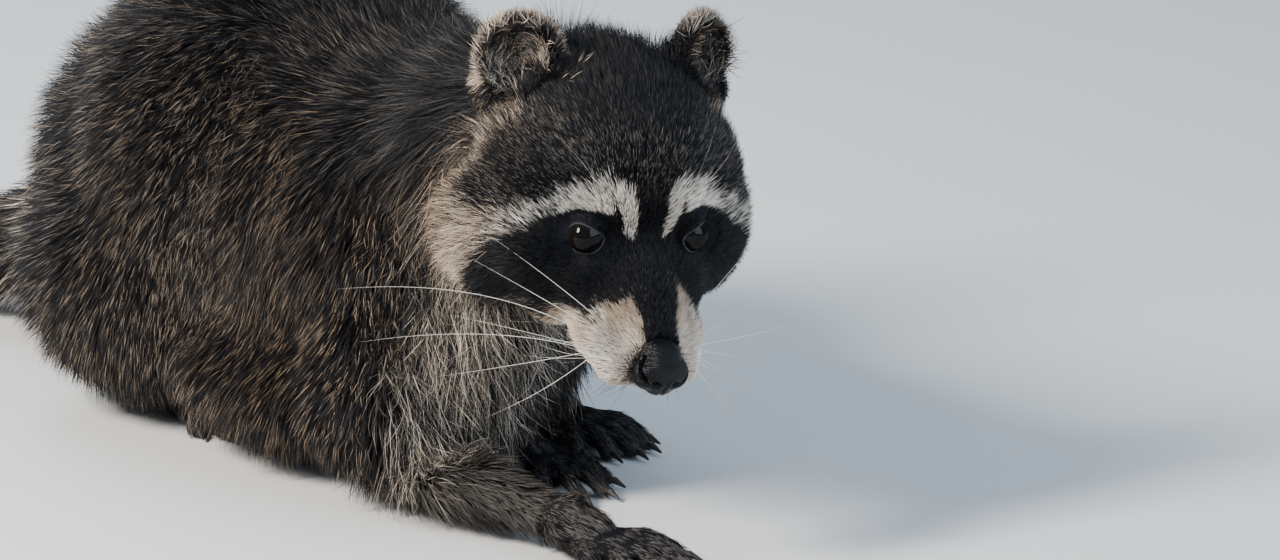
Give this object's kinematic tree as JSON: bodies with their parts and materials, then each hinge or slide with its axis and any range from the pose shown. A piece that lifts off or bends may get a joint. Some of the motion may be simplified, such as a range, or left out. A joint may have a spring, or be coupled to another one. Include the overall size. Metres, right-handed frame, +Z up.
{
  "type": "raccoon",
  "caption": "Life-size still raccoon, crouched in mid step with its head turned to its right, thick grizzled coat, masked face and ringed tail, as a museum display shows it.",
  "frame": {"origin": "on the floor, under the middle of the model's bounding box", "axes": "the raccoon faces -Y, +Z is up, and its right side is towards -X"},
  "size_m": [0.2556, 0.7158, 0.234],
  "materials": {
    "coat": "thick soft fur, grizzled grey brown with cream and black markings",
    "paw_skin": "dark skin under very short fur",
    "nose_leather": "moist pebbled black skin",
    "eye_brown": "wet and glossy, near black",
    "claw_horn": "smooth dark horn"
  },
  "bodies": {
    "root": {"chest": "coat", "claw_forepaw_left_1": "claw_horn", "claw_forepaw_left_2": "claw_horn", "claw_forepaw_left_3": "claw_horn", "claw_forepaw_left_4": "claw_horn", "claw_forepaw_left_5": "claw_horn", "claw_forepaw_right_1": "claw_horn", "claw_forepaw_right_2": "claw_horn", "claw_forepaw_right_3": "claw_horn", "claw_forepaw_right_4": "claw_horn", "claw_forepaw_right_5": "claw_horn", "claw_hindpaw_left_1": "claw_horn", "claw_hindpaw_left_2": "claw_horn", "claw_hindpaw_left_3": "claw_horn", "claw_hindpaw_left_4": "claw_horn", "claw_hindpaw_left_5": "claw_horn", "claw_hindpaw_right_1": "claw_horn", "claw_hindpaw_right_2": "claw_horn", "claw_hindpaw_right_3": "claw_horn", "claw_hindpaw_right_4": "claw_horn", "claw_hindpaw_right_5": "claw_horn", "ear_left": "coat", "ear_right": "coat", "eye_left": "eye_brown", "eye_right": "eye_brown", "forearm_left": "coat", "forearm_right": "coat", "forepaw_left": "paw_skin", "forepaw_right": "paw_skin", "head": "coat", "hindpaw_left": "paw_skin", "hindpaw_right": "paw_skin", "loins": "coat", "lower_jaw": "coat", "neck": "coat", "nose": "nose_leather", "rump": "coat", "shank_left": "coat", "shank_right": "coat", "tail_base": "coat", "tail_middle": "coat", "tail_tip": "coat", "thigh_left": "coat", "thigh_right": "coat", "upper_arm_left": "coat", "upper_arm_right": "coat"}
  },
  "joints": []
}
